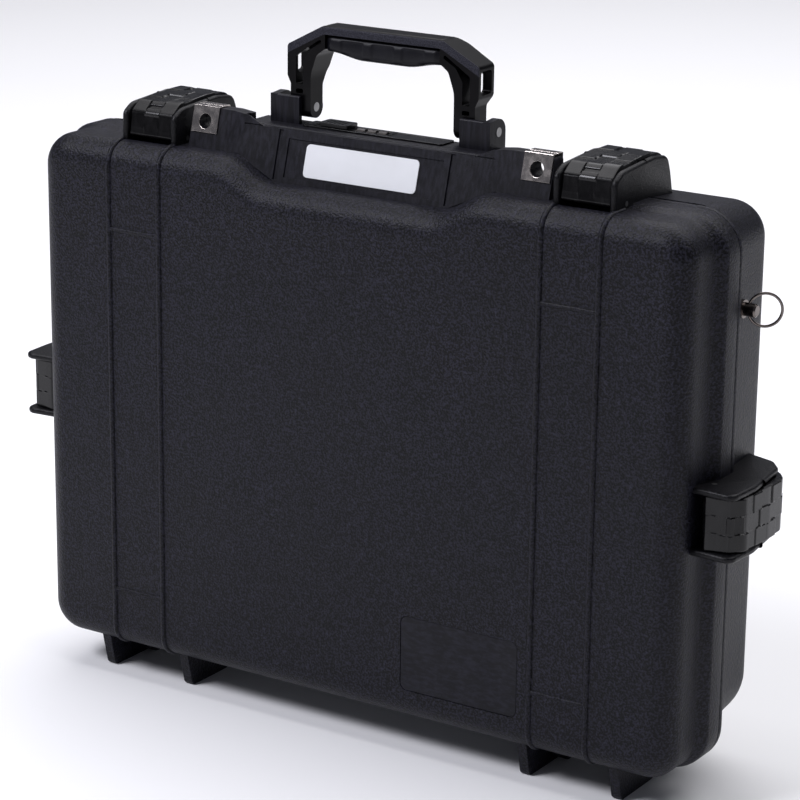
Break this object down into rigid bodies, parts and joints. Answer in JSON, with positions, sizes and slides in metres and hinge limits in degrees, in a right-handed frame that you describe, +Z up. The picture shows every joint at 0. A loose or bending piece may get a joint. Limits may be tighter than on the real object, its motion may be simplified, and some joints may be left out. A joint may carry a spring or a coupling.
{
  "type": "laptop hard case",
  "caption": "Black moulded hard case for a laptop, with a hinged lid, swinging latches, a folding handle, a number lock and strap rings.",
  "frame": {"origin": "bottom centre of the case's box, with the feet on the ground and the handle up", "axes": "+X to the right seen from the lid, +Y from the lid towards the base, +Z up"},
  "size_m": [0.5518, 0.124, 0.461],
  "materials": {
    "shell": "fine pebble grain",
    "latch": "satin, fine streaks",
    "seal": "matte",
    "grip": "soft matte",
    "steel": "turned",
    "bright_steel": "pressed, satin",
    "dial": "dull plated",
    "label": "bare printed-label stock",
    "dark_chrome": "dark plated"
  },
  "bodies": {
    "base": {"base_shell": "shell", "base_deck": "shell", "base_ears": "shell", "base_feet": "shell", "hinge_pins": "steel", "strike_pins": "steel", "handle_pins": "steel", "padlock_plate_base_left": "bright_steel", "padlock_plate_base_right": "bright_steel", "lock_housing": "latch", "lock_axle": "steel", "strap_stud_left": "dark_chrome", "strap_stud_right": "dark_chrome"},
    "lid": {"lid_shell": "shell", "lid_panel": "shell", "lid_ears": "shell", "lid_feet": "shell", "lid_seal": "seal", "latch_pins": "steel", "padlock_plate_lid_left": "bright_steel", "padlock_plate_lid_right": "bright_steel", "name_plate": "latch", "label_plate": "label"},
    "latch_tl": {"latch_top_left": "latch"},
    "latch_tr": {"latch_top_right": "latch"},
    "latch_sl": {"latch_side_left": "latch"},
    "latch_sr": {"latch_side_right": "latch"},
    "handle": {"handle_frame": "shell", "handle_grip": "grip"},
    "dial_1": {"lock_dial_1": "dial"},
    "dial_2": {"lock_dial_2": "dial"},
    "dial_3": {"lock_dial_3": "dial"},
    "slider": {"lock_slider": "latch"},
    "ring_left": {"strap_ring_left": "dark_chrome"},
    "ring_right": {"strap_ring_right": "dark_chrome"}
  },
  "joints": [
    {"name": "lid_hinge", "type": "hinge", "parent": "base", "child": "lid", "pos_m": [0, -0.0065, 0.009], "axis": [1, 0, 0], "range_deg": [0, 100]},
    {"name": "latch_tl_swing", "type": "hinge", "parent": "lid", "child": "latch_tl", "pos_m": [-0.1638, -0.0305, 0.3789], "axis": [1, 0, 0], "range_deg": [0, 50]},
    {"name": "latch_tr_swing", "type": "hinge", "parent": "lid", "child": "latch_tr", "pos_m": [0.1638, -0.0305, 0.3789], "axis": [1, 0, 0], "range_deg": [0, 50]},
    {"name": "latch_sl_swing", "type": "hinge", "parent": "lid", "child": "latch_sl", "pos_m": [-0.2522, -0.0305, 0.193], "axis": [0, 0, 1], "range_deg": [0, 50]},
    {"name": "latch_sr_swing", "type": "hinge", "parent": "lid", "child": "latch_sr", "pos_m": [0.2522, -0.0305, 0.193], "axis": [0, 0, -1], "range_deg": [0, 50]},
    {"name": "handle_fold", "type": "hinge", "parent": "base", "child": "handle", "pos_m": [0, -0.0091, 0.4064], "axis": [-1, 0, 0], "range_deg": [0, 90]},
    {"name": "dial_1_turn", "type": "hinge", "parent": "base", "child": "dial_1", "pos_m": [-0.0145, -0.015, 0.391], "axis": [1, 0, 0], "continuous": true},
    {"name": "dial_2_turn", "type": "hinge", "parent": "base", "child": "dial_2", "pos_m": [-0.0063, -0.015, 0.391], "axis": [1, 0, 0], "continuous": true},
    {"name": "dial_3_turn", "type": "hinge", "parent": "base", "child": "dial_3", "pos_m": [0.0019, -0.015, 0.391], "axis": [1, 0, 0], "continuous": true},
    {"name": "slider_slide", "type": "slide", "parent": "base", "child": "slider", "axis": [-1, 0, 0], "range_m": [0, 0.006]},
    {"name": "ring_left_swing", "type": "hinge", "parent": "base", "child": "ring_left", "pos_m": [-0.2505, 0.008, 0.315], "axis": [0, 0, -1], "range_deg": [-100, 40]},
    {"name": "ring_right_swing", "type": "hinge", "parent": "base", "child": "ring_right", "pos_m": [0.2505, 0.008, 0.315], "axis": [0, 0, 1], "range_deg": [-100, 40]}
  ]
}
